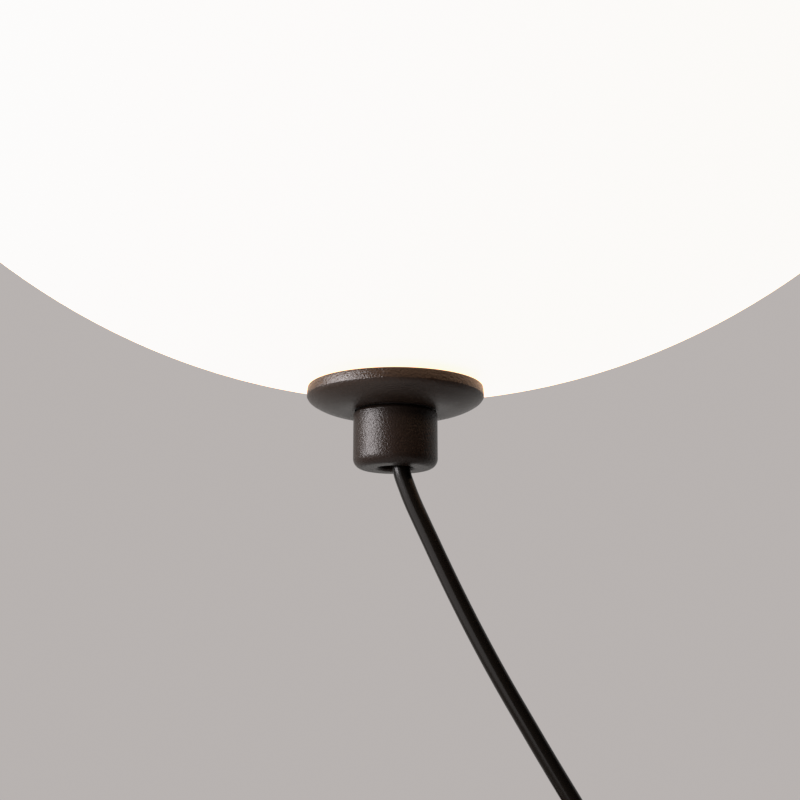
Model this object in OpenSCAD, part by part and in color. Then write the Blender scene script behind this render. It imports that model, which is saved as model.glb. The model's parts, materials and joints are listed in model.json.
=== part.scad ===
// Globe pendant light: an opal globe hung from a ceiling rose, with a supply cord that leaves its foot.
// Millimetres, +Z up. The origin is on the ceiling, at the middle of the bracket's top face.

/* [Ceiling fixing] */
// Outside diameter of the rose cover
rose_d = 100; // [90:1:130]
// Height of the rose cover
rose_h = 46; // [44:1:60]
// Sheet thickness of the rose cover
rose_wall = 1.5; // [1:0.1:3]
// Width of the ceiling strap
strap_w = 20; // [16:1:26]
// Sheet thickness of the ceiling strap
strap_t = 2; // [1.5:0.1:3]
// Distance between the two ceiling slots
slot_spacing = 60; // [54:1:66]
// Width of a ceiling slot
slot_w = 4.5; // [3.5:0.1:6]
// Length of a ceiling slot, end to end
slot_len = 10; // [8:0.5:14]
// Height of the strap's bent end tabs
tab_h = 16; // [12:1:20]
// Diameter of the two screws that hold the rose cover
rose_screw_d = 4; // [3:0.5:5]

/* [Swivel] */
// Diameter of the two swivel pins
swivel_pin_d = 5; // [4:0.5:6]
// Width of the swivel block, both ways
block_w = 16; // [14:0.5:20]
// Thickness of a yoke or fork ear
ear_t = 3; // [2:0.5:4]
// Width of a yoke or fork ear
ear_w = 12; // [11:0.5:14]
// Swing that the rose cover's hole leaves free, each way, in degrees
swing = 8; // [4:1:10]

/* [Drop] */
// Length of rod that shows between the rose and the top boss
drop_len = 80; // [40:5:400]
// Outside diameter of the drop rod and of the tie tube
tube_d = 10; // [9:0.5:12]
// Bore of the tie tube
tube_bore = 7; // [6.8:0.1:8]

/* [Globe] */
// Outside diameter of the opal glass globe
globe_d = 450; // [400:10:600]
// Wall of the blown glass
glass_wall = 3; // [2:0.5:5]
// Diameter of the openings at the globe's two poles
glass_hole_d = 26; // [22:1:32]
// Height of the globe's pole above the flange face
pole_gap = 1.2; // [0.5:0.05:2]
// Outside diameter of the two gaskets
gasket_d = 37; // [34:1:44]

/* [End fittings] */
// Diameter of the flange and of the top cap
flange_d = 54.4; // [50:0.2:70]
// Straight height of the flange's rim
rim_h = 3.1; // [2:0.1:5]
// Rounding of the rim's edge towards the globe
rim_round = 0.4; // [0.2:0.1:1.4]
// Radius of the shoulder below the rim
shoulder_r = 3.5; // [2:0.1:6]
// Slope at which the shoulder runs into the round underside, in degrees
under_slope = 33; // [20:0.5:40]
// Diameter of the boss
boss_d = 25.8; // [24:0.2:32]
// Length of the boss
boss_len = 17.7; // [14:0.1:30]
// Rounding at the boss's free end
boss_round = 3; // [1:0.1:4]
// Chamfer at the boss's flange end
boss_chamfer = 1; // [0.6:0.1:1.5]

/* [Light column] */
// Length of the hexagonal light column
column_len = 160; // [100:5:200]
// Width of the light column across its flats
column_af = 36; // [26:1:50]
// LED chips on each strip
chips_per_strip = 8; // [4:1:12]
// Length of the driver box
driver_len = 90; // [60:5:110]
// Width of the driver box
driver_w = 32; // [24:1:40]
// Thickness of the driver box
driver_t = 22; // [16:1:28]

/* [Cord] */
// Diameter of the supply cord
cord_d = 5.3; // [4.6:0.1:5.8]
// Diameter of the coil at the middle of its turns
coil_mid_d = 61; // [58:1:72]
// Layers of the coil
coil_layers = 4; // [2:2:4]
// Whole turns of the coil, before the part turn that points its end down
coil_turns = 9; // [5:1:10]
// Width of the cord tie
tie_w = 8; // [4:0.5:12]
// Thickness of the cord tie's strap
tie_t = 1.2; // [0.8:0.1:2]

/* [Cord switch] */
// Length of the in-line switch
switch_len = 62; // [58:1:80]
// Width of the in-line switch
switch_w = 26; // [24:1:34]
// Thickness of the in-line switch, both shells together
switch_t = 20; // [18:0.5:26]
// Wall of the switch shells
switch_wall = 2; // [1.5:0.1:2.5]
// Length of the rocker
rocker_len = 18; // [16:0.5:20]
// Width of the rocker
rocker_w = 10; // [8:0.5:11]
// Tilt of the rocker to either side, in degrees
rocker_tilt = 6; // [3:0.5:7]

/* [Plug] */
// Diameter of a plug pin
pin_d = 4; // [4:0.1:5]
// Length of the plug pins beyond the plug's face
pin_len = 19; // [15:0.5:22]
// Distance between the plug pins
pin_pitch = 19; // [17:0.1:22]
// Length of a pin's bare end, below its insulated shank
bare_len = 9; // [7:0.5:11]
// Width of the plug body at its face
plug_w = 35; // [32:1:44]
// Thickness of the plug body
plug_t = 14; // [12:0.5:20]
// Length of the plug body
plug_len = 28; // [24:1:40]
// Length of the tapered sleeve on the plug
sleeve_len = 22; // [20:1:40]

/* [Hidden] */
$fn = 96;
// Clearance between a round part and the hole it sits in, per side
fit_gap = 0.05;
// Clearance between parts that slide past each other face to face
side_gap = 0.2;
// Clearance under a curved seat
seat_gap = 0.1;
// Free space kept between parts that swing
swing_room = 1;
// How far a cutting shape runs past the face that it cuts
cut = 1;

brown = "#3a322d";
steel = "#b9bcc0";
black = "#17130f";

// Ceiling fixing
rose_rim_gap = 0.5;
rose_in_r = rose_d/2 - rose_wall;
tab_gap = 0.5;
strap_half = sqrt(rose_in_r*rose_in_r - strap_w*strap_w/4) - tab_gap;
// Proportions of a pan-head screw, as shares of its thread
head_wide = 1.8;
head_high = 0.55;
head_top = 0.7;
screw_head_d = rose_screw_d*head_wide;
screw_head_h = rose_screw_d*head_high;
screw_past = 1;
tab_edge = 6.4;
rose_screw_z = tab_edge - tab_h;
base_t = 3;
base_l = block_w + 2*side_gap + 2*ear_t;
rivet_d = 4;
rivet_head_d = 6.4;
rivet_head_h = 2;
rivet_x = block_w/4;

// Swivel heights
pin_cover = 3;
pin_space = 5;
block_cap = swivel_pin_d/2 + pin_cover;
corner_rise = block_w/2*sin(swing);
z_base = -strap_t - base_t;
z_yoke_pin = z_base - rivet_head_h - swing_room - corner_rise - block_cap;
z_fork_pin = z_yoke_pin - swivel_pin_d - pin_space;
z_fork_top = z_fork_pin - block_cap - corner_rise - swing_room;
fork_t = 4;
z_rod_top = z_fork_top - fork_t;
spigot_step = 1.5;
spigot_d = tube_d - 2*spigot_step;
rod_reach = sin(swing)*norm([rose_h + z_yoke_pin, rose_h + z_fork_pin]);
rod_hole_d = 2*(tube_d/2/cos(1.5*swing) + rod_reach + swing_room);

// End fittings, with w measured away from the globe, from the flange's flat face
tube_hole_r = tube_d/2 + fit_gap;
recess_inset = 0.5;
recess_r = boss_d/2 - recess_inset;
recess_deep = 0.9;
shoulder_start = 68;
shoulder_end_r = flange_d/2 - shoulder_r*(sin(shoulder_start) - sin(under_slope));
shoulder_end_w = rim_h + shoulder_r*(cos(under_slope) - cos(shoulder_start));
// The underside is an arc, lowest on a ring just outside the boss
low_side = 3.6;
under_r = (shoulder_end_r - recess_r - low_side)/sin(under_slope);
neck_slope = -asin(low_side/under_r);
neck_w = shoulder_end_w + under_r*(cos(neck_slope) - cos(under_slope));
nut_gap = 0.15;
boss_w0 = neck_w + nut_gap;
fit_h = boss_w0 + boss_len;
hole_round = 0.6;
washer_inset = 1;
washer_d = boss_d - 2*washer_inset;
collar_h = 5;
collar_gap = 0.4;
collar_r = glass_hole_d/2 - collar_gap;
tube_setback = 8;
tube_end_w = fit_h - tube_setback;
grub_d = 4;
grub_sink = 0.6;
grub_w = fit_h - tube_setback/2;

// Heights down the lamp
z_boss_top = -rose_h - drop_len;
z_cap = z_boss_top - fit_h;
z_centre = z_cap - pole_gap - globe_d/2;
z_flange = z_centre - globe_d/2 - pole_gap;
z_exit = z_flange - fit_h;

// Light column and driver
strip_t = 1.6;
strip_end = 5;
strip_edge = 3.5;
strip_w = column_af*tan(30) - 2*strip_edge;
chip_w = 3;
chip_t = 0.8;
clip_h = 8;
clip_wall = 4;
clip_arm = 3;
clip_d = tube_d + 2*clip_wall;
clip_half = clip_d/2 + clip_arm;
clip_w = 14;
driver_drop = 20;
z_driver = z_centre - column_len/2 - driver_drop - driver_len/2;
terminal = [12, 20, 24];
wire_d = 1.6;
wire_y = 1.2;
wire_rise = 4;
z_terminal = z_driver + 2*wire_rise - terminal[2];
grip_len = 10;
grip_lap = 5;
cord_start = 14;

// Cord route from the boss's hole, as x and height, in the plane of the photograph
drop_route = [[0, cord_start], [0, 10.5], [0.2, 8], [0.7, 5], [1.4, 2.5], [2.1, 0], [2.8, -2], [3.8, -5],
    [5.6, -9.5], [8.4, -15.5], [11.3, -21.5], [14.2, -27.5], [20.2, -39.5], [26.3, -51], [32.8, -62.5],
    [39.4, -73.5], [46.1, -84.5], [53, -95.5], [59.6, -105.8]];
// Centre of the coil's first layer, from the boss's hole
coil_at = [38, -141];
// Angle on the coil at which the cord joins it
join_angle = 33;
coil_gap = 0.55;
coil_pitch = cord_d + coil_gap;
all_turns = coil_turns + join_angle/360;
layer_turns = all_turns/coil_layers;
coil_in_r = coil_mid_d/2 - layer_turns*coil_pitch/2;
coil_out_r = coil_mid_d/2 + layer_turns*coil_pitch/2;
loop_rings = 24;
coil_sides = 6;
drop_sides = 10;
tie_angle = 180;
tie_gap = 0.35;

// Hanging end: coil end, switch and plug on one line
tail_x = coil_at[0] + coil_out_r;
tail_y = (coil_layers - 1)*coil_pitch;
z_tail = z_exit + coil_at[1] - cord_d;
tail_len = 26;
z_switch = z_tail - tail_len - switch_len/2;
cord_inside = 3;
cord_lap = switch_wall + cord_inside;
end_len = 14;
z_sleeve = z_switch - switch_len/2 - end_len;
z_plug = z_sleeve - sleeve_len;
sleeve_top_wall = 1;
sleeve_low_wall = 2.5;
sleeve_top_d = cord_d + 2*sleeve_top_wall;
sleeve_low_d = cord_d + 2*sleeve_low_wall;
sleeve_lap = 4;
neck_side = 3;
plug_neck_w = sleeve_low_d + 2*neck_side;
plug_shoulder = 10;
pin_seat = 12;
shank_step = 0.25;
shank_d = pin_d - 2*shank_step;

// Switch inside
pivot_deep = 2.5;
pivot_y = -switch_t/2 + switch_wall + pivot_deep;
rocker_proud = 2;
trunnion_d = 3;
post_w = 2.5;
post_back = 2;
post_y = pivot_y + post_back;
window_w = rocker_w + 2*side_gap;
window_end = 0.5;
window_len = rocker_len + 2*(rocker_proud + switch_wall)*tan(rocker_tilt) + 2*window_end;
case_screw_d = 2.5;
case_screw_end = 10;
case_screw_short = 1;
case_screw_z = switch_len/2 - case_screw_end;
case_head_d = 4.6;
case_head_h = 2;
case_sink = 3;
case_post_d = 6;

// A ring of points round p, square to the direction t
function ring(p, t, r, n) = let (u = cross(t, [0, 1, 0])/norm(cross(t, [0, 1, 0])), v = cross(t, u))
    [for (j = [0:n - 1]) p + r*(cos(360*j/n)*u + sin(360*j/n)*v)];

// Directions along a list of points, with the first and last given
function headings(p, first, last) = [for (i = [0:len(p) - 1])
    i == 0 ? first : i == len(p) - 1 ? last : (p[i + 1] - p[i - 1])/norm(p[i + 1] - p[i - 1])];

// One tube of n sides along the points p with directions t, closed at both ends
module swept(p, t, d, n) {
    rings = [for (i = [0:len(p) - 1]) each ring(p[i], t[i], d/2, n)];
    last = (len(p) - 1)*n;
    sides = [for (i = [0:len(p) - 2], j = [0:n - 1])
        let (a = i*n + j, b = i*n + (j + 1)%n)
        each [[a, a + n, b + n], [a, b + n, b]]];
    caps = [for (j = [1:n - 2]) each [[0, j, j + 1], [last, last + j + 1, last + j]]];
    polyhedron(points = rings, faces = concat(sides, caps), convexity = 10);
}

// Even steps from one value to another, both included
function steps(from, to, n) = [for (i = [0:n]) from + (to - from)*i/n];

// Half section of a flange: radius and distance w from its flat face
function flange_section() = concat(
    [[tube_hole_r, -collar_h], [collar_r, -collar_h], [collar_r, 0]],
    [for (a = steps(0, 90, 5)) [flange_d/2 - rim_round*(1 - sin(a)), rim_round*(1 - cos(a))]],
    [for (a = steps(shoulder_start, under_slope, 8))
        [flange_d/2 - shoulder_r*(sin(shoulder_start) - sin(a)),
            rim_h + shoulder_r*(cos(a) - cos(shoulder_start))]],
    [for (a = steps(under_slope, neck_slope, 10)) if (a < under_slope)
        [recess_r + low_side + under_r*sin(a), neck_w + under_r*(cos(a) - cos(neck_slope))]],
    [[recess_r, neck_w - recess_deep], [tube_hole_r, neck_w - recess_deep]]);

// Half section of a boss: radius and distance w from the flange's flat face
function boss_section() = concat(
    [[tube_hole_r, boss_w0], [boss_d/2 - boss_chamfer, boss_w0], [boss_d/2, boss_w0 + boss_chamfer]],
    [for (a = steps(0, 90, 8)) [boss_d/2 - boss_round*(1 - cos(a)), fit_h - boss_round*(1 - sin(a))]],
    [for (a = steps(90, 0, 4)) [tube_hole_r + hole_round*(1 - cos(a)), fit_h - hole_round*(1 - sin(a))]]);

// Turns a half section about the lamp's axis, hanging below the height z, or standing on it
module turned(section, z, up = false) {
    translate([0, 0, z]) rotate_extrude() polygon([for (p = section) [p[0], up ? p[1] : -p[1]]]);
}

// Rose, bracket and swivel

module ceiling_bracket() color(steel) difference() {
    union() {
        translate([-strap_half, -strap_w/2, -strap_t]) cube([2*strap_half, strap_w, strap_t]);
        for (s = [0, 1]) mirror([s, 0, 0])
            translate([strap_half - strap_t, -strap_w/2, -tab_h]) cube([strap_t, strap_w, tab_h]);
    }
    rivet_holes();
    for (s = [-1, 1]) translate([s*slot_spacing/2, 0, -strap_t - cut]) slot_cut(strap_t + 2*cut);
    for (s = [-1, 1]) translate([s*(strap_half - strap_t/2), 0, rose_screw_z]) rotate([0, 90, 0])
        cylinder(d = rose_screw_d + 2*fit_gap, h = strap_t + 2*cut, center = true);
}

module rivet_holes() for (s = [-1, 1]) translate([s*rivet_x, 0, z_base - cut])
    cylinder(d = rivet_d + 2*fit_gap, h = strap_t + base_t + 2*cut);

module slot_cut(h) {
    reach = (slot_len - slot_w)/2;
    for (s = [-1, 1]) translate([s*reach, 0, 0]) cylinder(d = slot_w, h = h);
    translate([-reach, -slot_w/2, 0]) cube([2*reach, slot_w, h]);
}

// An ear with a round end at z_pin, reaching to z_root, standing square to X
module ear(z_pin, z_root) {
    rotate([0, 90, 0]) translate([-z_pin, 0, 0]) cylinder(d = ear_w, h = ear_t);
    translate([0, -ear_w/2, min(z_pin, z_root)]) cube([ear_t, ear_w, abs(z_root - z_pin)]);
}

module pin_bore(z) translate([0, 0, z]) rotate([0, 90, 0])
    cylinder(d = swivel_pin_d + 2*fit_gap, h = base_l + 2*cut, center = true);

module swivel_yoke() color(steel) difference() {
    union() {
        translate([-base_l/2, -ear_w/2, z_base]) cube([base_l, ear_w, base_t]);
        for (s = [0, 1]) mirror([s, 0, 0])
            translate([block_w/2 + side_gap, 0, 0]) ear(z_yoke_pin, z_base + base_t);
    }
    pin_bore(z_yoke_pin);
    rivet_holes();
}

module yoke_rivets() color(steel) for (s = [-1, 1]) translate([s*rivet_x, 0, z_base]) {
    translate([0, 0, -rivet_head_h/2])
        cylinder(d = rivet_d, h = rivet_head_h/2 + strap_t + base_t - side_gap);
    translate([0, 0, -rivet_head_h]) cylinder(d = rivet_head_d, h = rivet_head_h);
}

module rose_cover() color(brown) difference() {
    translate([0, 0, -rose_h]) rotate_extrude() difference() {
        union() {
            square([rose_d/2 - rose_wall, rose_h - rose_rim_gap]);
            translate([0, rose_wall]) square([rose_d/2, rose_h - rose_rim_gap - rose_wall]);
            translate([rose_d/2 - rose_wall, rose_wall]) circle(r = rose_wall);
        }
        translate([-cut, rose_wall]) square([rose_in_r + cut, rose_h]);
        translate([-cut, -cut]) square([rod_hole_d/2 + cut, rose_wall + 2*cut]);
    }
    for (s = [-1, 1]) translate([s*(rose_d - rose_wall)/2, 0, rose_screw_z]) rotate([0, 90, 0])
        cylinder(d = rose_screw_d + 2*side_gap, h = rose_wall + 2*cut, center = true);
}

module rose_screws() color(steel) for (s = [0, 1]) mirror([s, 0, 0]) {
    translate([strap_half - strap_t - screw_past, 0, rose_screw_z]) rotate([0, 90, 0])
        cylinder(d = rose_screw_d, h = rose_d/2 - strap_half + strap_t + screw_past + screw_head_h/2);
    translate([rose_d/2, 0, rose_screw_z]) rotate([0, 90, 0])
        cylinder(d1 = screw_head_d, d2 = screw_head_d*head_top, h = screw_head_h);
}

module swivel_block() color(steel) difference() {
    translate([-block_w/2, -block_w/2, z_fork_pin - block_cap])
        cube([block_w, block_w, z_yoke_pin - z_fork_pin + 2*block_cap]);
    pin_bore(z_yoke_pin);
    rotate([0, 0, 90]) pin_bore(z_fork_pin);
}

module swivel_pin(z) color(steel) translate([0, 0, z]) rotate([0, 90, 0])
    cylinder(d = swivel_pin_d, h = base_l + 2*side_gap, center = true);

module yoke_pin() swivel_pin(z_yoke_pin);

module fork_pin() rotate([0, 0, 90]) swivel_pin(z_fork_pin);

// Rod and top fitting

module rod_fork() color(steel) rotate([0, 0, 90]) difference() {
    union() {
        translate([-base_l/2, -ear_w/2, z_rod_top]) cube([base_l, ear_w, fork_t]);
        for (s = [0, 1]) mirror([s, 0, 0])
            translate([block_w/2 + side_gap, 0, 0]) ear(z_fork_pin, z_rod_top);
    }
    pin_bore(z_fork_pin);
    translate([0, 0, z_rod_top - cut]) cylinder(d = spigot_d + 2*fit_gap, h = fork_t + 2*cut);
}

module drop_rod() color(brown) {
    translate([0, 0, z_cap + tube_end_w]) cylinder(d = tube_d, h = z_rod_top - z_cap - tube_end_w);
    translate([0, 0, z_rod_top - cut]) cylinder(d = spigot_d, h = fork_t + cut);
}

module top_boss() color(brown) difference() {
    turned(boss_section(), z_cap, up = true);
    translate([0, boss_d/2, z_cap + grub_w]) rotate([90, 0, 0])
        cylinder(d = grub_d + 2*fit_gap, h = boss_d/2);
}

module grub_screw() color(steel) translate([0, boss_d/2 - grub_sink, z_cap + grub_w]) rotate([90, 0, 0])
    cylinder(d = grub_d, h = boss_d/2 - grub_sink - tube_d/2 - seat_gap);

module top_cap() color(brown) turned(flange_section(), z_cap, up = true);

module bottom_flange() color(brown) turned(flange_section(), z_flange);

module clamp_nut() color(brown) turned(boss_section(), z_flange);

module fibre_washer() color(black) translate([0, 0, z_flange - boss_w0 + seat_gap])
    difference() {
        cylinder(d = washer_d, h = recess_deep + nut_gap - seat_gap);
        translate([0, 0, -cut]) cylinder(r = tube_hole_r, h = recess_deep + 2*cut);
    }

// Globe and its seals

module globe_glass() color("#f7f4ee") difference() {
    translate([0, 0, z_centre]) sphere(d = globe_d);
    translate([0, 0, z_centre]) sphere(d = globe_d - 2*glass_wall);
    translate([0, 0, z_centre - globe_d]) cylinder(d = glass_hole_d, h = 2*globe_d);
}

// Half section of a gasket between a flange's flat face and the globe: radius and distance w
function gasket_section() = let (seat_r = globe_d/2 + seat_gap) concat(
    [[glass_hole_d/2, 0], [gasket_d/2, 0]],
    [for (r = steps(gasket_d/2, glass_hole_d/2, 6)) [r, sqrt(seat_r*seat_r - r*r) - globe_d/2 - pole_gap]]);

module upper_gasket() color("#4a4744") turned(gasket_section(), z_cap, up = true);

module lower_gasket() color("#4a4744") turned(gasket_section(), z_flange);

// Light column inside the globe

module tie_tube() color(steel) difference() {
    translate([0, 0, z_flange - tube_end_w]) cylinder(d = tube_d, h = z_cap - z_flange + 2*tube_end_w);
    translate([0, 0, z_flange - tube_end_w - cut])
        cylinder(d = tube_bore, h = z_cap - z_flange + tube_end_w);
    translate([-tube_d/2, 0, z_driver + wire_rise]) rotate([0, 90, 0])
        cylinder(d = 2*wire_y + 2*wire_d, h = tube_d, center = true);
}

module light_column() color("#c9ccd0") translate([0, 0, z_centre - column_len/2]) difference() {
    rotate([0, 0, 30]) cylinder(d = column_af/cos(30), h = column_len, $fn = 6);
    translate([0, 0, -cut]) cylinder(r = tube_hole_r, h = column_len + 2*cut);
}

module led_strips() color("#f2f2ee") for (a = [0:60:300]) rotate([0, 0, a])
    translate([column_af/2, -strip_w/2, z_centre - column_len/2 + strip_end])
        cube([strip_t, strip_w, column_len - 2*strip_end]);

module led_chips() color("#f0d860") {
    pitch = (column_len - 2*strip_end)/chips_per_strip;
    for (a = [0:60:300], i = [0:chips_per_strip - 1]) rotate([0, 0, a])
        translate([column_af/2 + strip_t, -chip_w/2,
            z_centre - column_len/2 + strip_end + (i + 0.5)*pitch - chip_w/2])
            cube([chip_t, chip_w, chip_w]);
}

module driver_box() color("#e6e6e2") translate([clip_half, -driver_w/2, z_driver - driver_len/2])
    cube([driver_t, driver_w, driver_len]);

module driver_clips() color(steel) {
    for (s = [-1, 1]) clip(z_driver + s*(driver_len/2 - clip_h), false);
    clip(z_terminal + clip_h/2, true);
}

// A saddle round the tube, with an arm to the driver and, where asked, one to the terminal block
module clip(z, both) translate([0, 0, z - clip_h/2]) difference() {
    union() {
        cylinder(d = clip_d, h = clip_h);
        translate([both ? -clip_half : 0, -clip_w/2, 0])
            cube([both ? 2*clip_half : clip_half, clip_w, clip_h]);
    }
    translate([0, 0, -cut]) cylinder(r = tube_hole_r, h = clip_h + 2*cut);
}

module terminal_block() color("#efefef")
    translate([-clip_half - terminal[0], -terminal[1]/2, z_terminal]) cube(terminal);

module lead_wires() color("#7a4a2a") for (s = [-1, 1]) translate([0, s*wire_y, z_driver]) {
    cylinder(d = wire_d, h = wire_rise, $fn = 24);
    translate([0, 0, wire_rise]) sphere(d = wire_d, $fn = 24);
    translate([0, 0, wire_rise]) rotate([0, -90, 0]) cylinder(d = wire_d, h = clip_half, $fn = 24);
}

module cord_riser() color(black) translate([0, 0, z_exit + cord_start])
    cylinder(d = cord_d, h = z_driver - z_exit - cord_start);

module cord_grip() color("#2b2b2b") translate([0, 0, z_exit + cord_start - grip_lap]) difference() {
    cylinder(d = tube_bore - 2*fit_gap, h = grip_len);
    translate([0, 0, -cut]) cylinder(d = cord_d + 2*fit_gap, h = grip_len + 2*cut);
}

// Supply cord

// Direction of the cord, along the coil's turns, at angle a on the coil
function coil_heading(a) = [sin(a), 0, -cos(a)];

function coil_centre() = [coil_at[0], 0, z_exit + coil_at[1]];

// Radius after the turn angle t: inwards on one layer, outwards on the next
function coil_radius(t) = let (s = t/(360*layer_turns), k = min(floor(s), coil_layers - 1), f = s - k)
    k%2 == 0 ? coil_out_r - f*(coil_out_r - coil_in_r) : coil_in_r + f*(coil_out_r - coil_in_r);

function eased(s) = let (c = max(0, min(1, s))) c*c*(3 - 2*c);

function total(v, i = 0) = i < len(v) ? v[i] + total(v, i + 1) : 0;

// Depth after the turn angle t: one layer further in the half turn round each reversal
function coil_depth(t) = coil_pitch*total(
    [for (m = [1:coil_layers - 1]) eased((t - 360*layer_turns*m)/180 + 0.5)]);

function coil_point(t) = coil_centre() + [0, coil_depth(t), 0]
    + coil_radius(t)*[cos(join_angle - t), 0, sin(join_angle - t)];

coil_steps = round(all_turns*loop_rings);
coil_turns_path = [for (i = [0:coil_steps]) coil_point(360*all_turns*i/coil_steps)];
coil_start = coil_turns_path[0] - cord_d*coil_heading(join_angle);
coil_end = coil_turns_path[coil_steps] + cord_d*coil_heading(0);
coil_path = concat([coil_start], coil_turns_path, [coil_end]);

// Least gap between turns, measured between ring centres more than half a turn apart
coil_least = min([for (i = [0:coil_steps - loop_rings/2], j = [i + loop_rings/2:coil_steps])
    norm(coil_turns_path[i] - coil_turns_path[j])]) - cord_d;
echo(least_coil_gap = coil_least);
assert(coil_least > 0, "The coil's turns run into one another");

module cord_coil() color(black)
    swept(coil_path, headings(coil_path, coil_heading(join_angle), coil_heading(0)), cord_d, coil_sides);

module cord_drop() color(black) {
    p = concat([for (q = drop_route) [q[0], 0, z_exit + q[1]]], [coil_start]);
    swept(p, headings(p, [0, 0, -1], coil_heading(join_angle)), cord_d, drop_sides);
}

// A flat strap round all the turns at one place on the coil
module cord_tie() color("#26221e") {
    low = sqrt(pow(coil_in_r - cord_d/2, 2) - tie_w*tie_w/4) - tie_gap;
    wide = coil_out_r + cord_d/2 + tie_gap - low;
    deep = tail_y + cord_d + 2*tie_gap;
    translate(coil_centre()) rotate([0, -tie_angle, 0])
        translate([low, -cord_d/2 - tie_gap, -tie_w/2]) difference() {
            translate([-tie_t, -tie_t, 0]) cube([wide + 2*tie_t, deep + 2*tie_t, tie_w]);
            translate([0, 0, -cut]) cube([wide, deep, tie_w + 2*cut]);
        }
}

module cord_tail() color(black) translate([tail_x, tail_y, z_tail - tail_len - cord_lap])
    cylinder(d = cord_d, h = tail_len + cord_lap);

module cord_end() color(black) translate([tail_x, tail_y, z_sleeve - sleeve_lap])
    cylinder(d = cord_d, h = end_len + cord_lap + sleeve_lap);

// In-line switch, drawn about its own middle: front towards -Y, length along Z

// Outline of the switch, shrunk by g, from depth y0 to y1
module switch_slab(g, y0, y1) translate([0, y1, 0]) rotate([90, 0, 0]) linear_extrude(y1 - y0) {
    r = switch_w/2 - g;
    for (s = [-1, 1]) translate([0, s*(switch_len/2 - switch_w/2)]) circle(r = r);
    square([2*r, switch_len - switch_w], center = true);
}

module at_switch() translate([tail_x, tail_y, z_switch]) children();

module cord_holes() for (s = [0, 1]) mirror([0, 0, s]) translate([0, 0, switch_len/2 - cord_lap])
    cylinder(d = cord_d + 2*fit_gap, h = cord_lap + cut);

// Posts for the case screws, from depth y0 to y1
module case_posts(d, y0, y1) for (s = [-1, 1]) translate([0, y1, s*case_screw_z]) rotate([90, 0, 0])
    cylinder(d = d, h = y1 - y0);

module switch_front() color("#1d1a18") at_switch() difference() {
    union() {
        difference() {
            switch_slab(0, -switch_t/2, 0);
            switch_slab(switch_wall, -switch_t/2 + switch_wall, cut);
        }
        case_posts(case_post_d, -switch_t/2 + switch_wall - side_gap, 0);
        for (s = [0, 1]) mirror([s, 0, 0])
            translate([window_w/2, -switch_t/2 + switch_wall - side_gap, -trunnion_d])
                cube([post_w, post_y + switch_t/2 - switch_wall + side_gap, 2*trunnion_d]);
    }
    cube([window_w, 2*switch_t, window_len], center = true);
    translate([0, pivot_y, 0]) rotate([0, 90, 0])
        cylinder(d = trunnion_d + 2*fit_gap, h = window_w + 2*post_w + 2*cut, center = true);
    cord_holes();
    case_posts(case_screw_d + 2*fit_gap, -switch_t/2 + switch_wall, cut);
}

module switch_back() color("#1d1a18") at_switch() difference() {
    union() {
        difference() {
            switch_slab(0, 0, switch_t/2);
            switch_slab(switch_wall, -cut, switch_t/2 - switch_wall);
        }
        case_posts(case_post_d, 0, switch_t/2 - switch_wall + side_gap);
    }
    cord_holes();
    case_posts(case_screw_d + 2*side_gap, -cut, switch_t/2 + cut);
    case_posts(case_head_d + 2*side_gap, switch_t/2 - case_sink, switch_t/2 + cut);
}

module switch_screws() color(steel) at_switch() {
    case_posts(case_screw_d, -switch_t/2 + switch_wall + case_screw_short,
        switch_t/2 - case_sink + case_head_h/2);
    case_posts(case_head_d, switch_t/2 - case_sink, switch_t/2 - case_sink + case_head_h);
}

module switch_rocker() color("#2a2623") at_switch() translate([0, pivot_y, 0]) rotate([rocker_tilt, 0, 0]) {
    front = pivot_y + switch_t/2 + rocker_proud;
    translate([-rocker_w/2, -front, -rocker_len/2]) cube([rocker_w, front + post_y - pivot_y, rocker_len]);
    rotate([0, 90, 0]) cylinder(d = trunnion_d, h = rocker_w + 2*post_w, center = true);
}

// Plug, hanging with its pins down

module plug_sleeve() color(black) translate([tail_x, tail_y, z_plug]) difference() {
    cylinder(d1 = sleeve_low_d, d2 = sleeve_top_d, h = sleeve_len);
    translate([0, 0, sleeve_len - sleeve_lap]) cylinder(d = cord_d + 2*fit_gap, h = sleeve_lap + cut);
}

module plug_body() color(black) translate([tail_x, tail_y, z_plug - plug_len]) difference() {
    translate([0, plug_t/2, 0]) rotate([90, 0, 0]) linear_extrude(plug_t)
        polygon([[-plug_w/2, 0], [plug_w/2, 0], [plug_w/2, plug_len - plug_shoulder],
            [plug_neck_w/2, plug_len], [-plug_neck_w/2, plug_len], [-plug_w/2, plug_len - plug_shoulder]]);
    for (s = [-1, 1]) translate([s*pin_pitch/2, 0, -cut])
        cylinder(d = shank_d + 2*fit_gap, h = pin_seat + cut);
}

module plug_pins() color(steel) for (s = [-1, 1])
    translate([tail_x + s*pin_pitch/2, tail_y, z_plug - plug_len - pin_len]) {
        translate([0, 0, pin_d/2]) cylinder(d = shank_d, h = pin_len + pin_seat - pin_d/2);
        translate([0, 0, pin_d/2]) cylinder(d = pin_d, h = bare_len - pin_d/2);
        translate([0, 0, pin_d/2]) sphere(d = pin_d);
    }

ceiling_bracket();
swivel_yoke();
yoke_rivets();
rose_cover();
rose_screws();
swivel_block();
yoke_pin();
fork_pin();
rod_fork();
drop_rod();
top_boss();
grub_screw();
top_cap();
upper_gasket();
globe_glass();
tie_tube();
light_column();
led_strips();
led_chips();
driver_box();
driver_clips();
terminal_block();
lead_wires();
cord_riser();
lower_gasket();
bottom_flange();
fibre_washer();
cord_grip();
clamp_nut();
cord_drop();
cord_coil();
cord_tie();
cord_tail();
switch_front();
switch_back();
switch_screws();
switch_rocker();
cord_end();
plug_sleeve();
plug_body();
plug_pins();
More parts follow.
